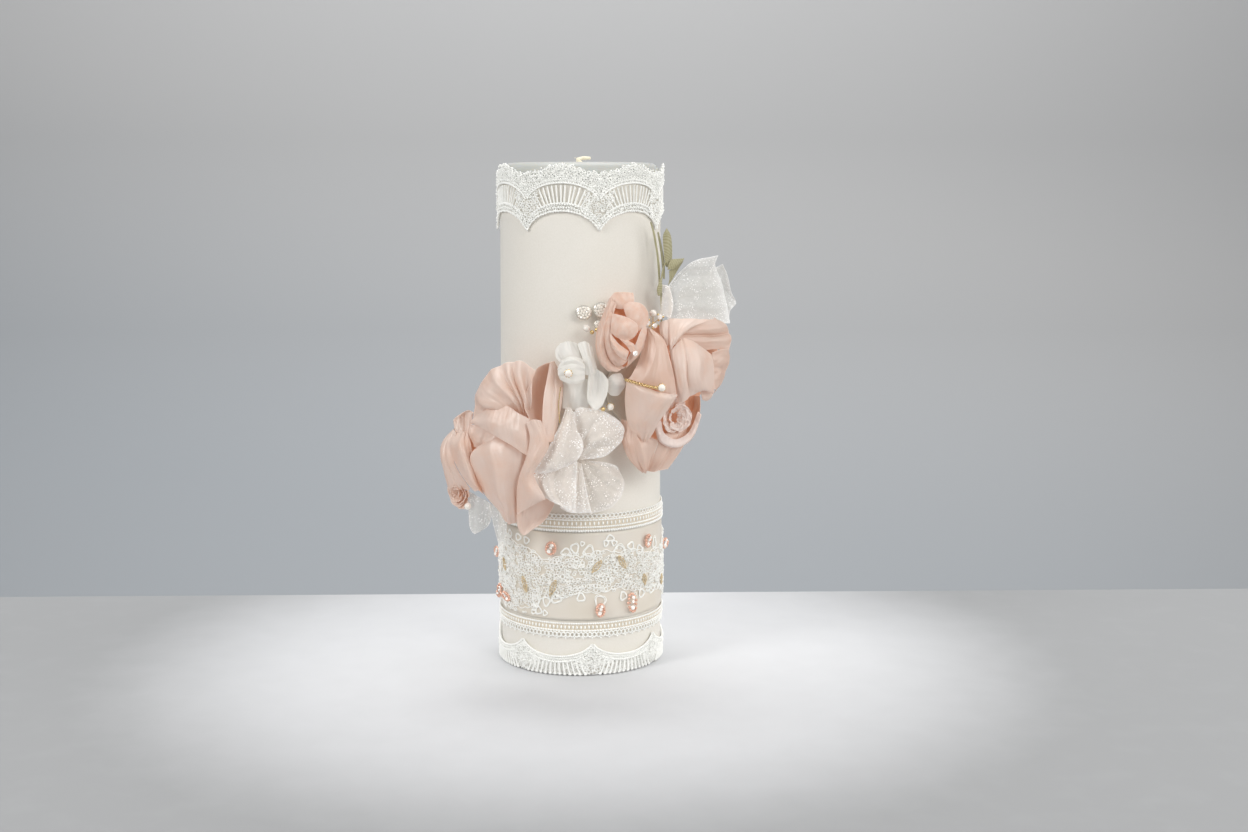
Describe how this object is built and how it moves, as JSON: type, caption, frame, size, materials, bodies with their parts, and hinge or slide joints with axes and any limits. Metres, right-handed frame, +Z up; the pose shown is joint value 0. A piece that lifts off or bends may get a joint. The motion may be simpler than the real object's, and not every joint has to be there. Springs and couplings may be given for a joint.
{
  "type": "wrapped ceremonial pillar candle",
  "caption": "Tall pillar candle wrapped in ivory cloth with lace and beaded braid, and a spray of ribbon roses, organza, pearls and leaves across its front.",
  "frame": {"origin": "on the candle's axis, at the flat base it stands on", "axes": "+Z up the candle's axis; the spray faces -Y; +X is to the right seen from the front"},
  "size_m": [0.1231, 0.1032, 0.2229],
  "materials": {
    "wax": "satin",
    "wick_cotton": "matte",
    "sustainer_tin": "satin",
    "clear_tape": "gloss",
    "ivory_crepe_satin": "satin",
    "guipure_lace": "matte",
    "beaded_lace": "matte",
    "rose_gold_sequin": "gloss",
    "crystal": "clear",
    "khaki_bead": "gloss",
    "blush_satin": "satin",
    "blush_chiffon": "matte",
    "white_satin": "satin",
    "glitter_organza": "glitter",
    "pearl": "pearl",
    "gold_bead": "polished",
    "silver_setting": "polished",
    "pave_stone": "cut",
    "leaf_fabric": "matte",
    "felt": "matte"
  },
  "bodies": {
    "root": {"bead_hearts": "khaki_bead", "beaded_lace_panel": "beaded_lace", "blade_leaves": "leaf_fabric", "blossom_back_petals": "white_satin", "blossom_cup_petal": "white_satin", "blossom_lip_petal": "white_satin", "blossom_right_petal": "white_satin", "blossom_upright_petal": "white_satin", "broad_leaves": "leaf_fabric", "brooch_setting": "silver_setting", "brooch_stones": "pave_stone", "bud_face_petal": "blush_chiffon", "bud_left_petals": "blush_chiffon", "bud_lip_petals": "blush_chiffon", "bud_upper_petals": "blush_chiffon", "cup_crystals": "crystal", "fabric_wrap": "ivory_crepe_satin", "felt_discs": "felt", "gilt_stems": "gold_bead", "gold_beads": "gold_bead", "hem_lace_trim": "guipure_lace", "inner_small_rose": "blush_satin", "left_rose_band": "blush_satin", "left_rose_fan": "blush_satin", "left_rose_frill": "blush_satin", "left_rose_loop": "blush_satin", "left_rose_lower_petal": "blush_satin", "left_rose_outer_petal": "blush_satin", "left_rose_rolled_petal": "blush_satin", "left_rose_tip_petal": "blush_satin", "lower_braid": "beaded_lace", "organza_bottom_petal": "glitter_organza", "organza_bow_back": "glitter_organza", "organza_bow_front": "glitter_organza", "organza_curled_petal": "glitter_organza", "organza_lower_left_petal": "glitter_organza", "organza_sheer_petal": "glitter_organza", "organza_tails": "glitter_organza", "organza_upper_petal": "glitter_organza", "pearls": "pearl", "right_rose_bottom_petal": "blush_satin", "right_rose_centre_petal": "blush_satin", "right_rose_flap": "blush_satin", "right_rose_frill": "blush_satin", "right_rose_inner_fold": "blush_satin", "right_rose_left_petal": "blush_satin", "right_rose_lower_petal": "blush_satin", "right_rose_side_petal": "blush_satin", "sequin_cups": "rose_gold_sequin", "small_ruched_rose": "blush_chiffon", "spray_crystals": "crystal", "spray_wire": "gold_bead", "sprig_stem": "leaf_fabric", "tape_bands": "clear_tape", "top_lace_trim": "guipure_lace", "upper_braid": "beaded_lace", "wax_pillar": "wax", "wick": "wick_cotton", "wick_sustainer": "sustainer_tin"}
  },
  "joints": []
}
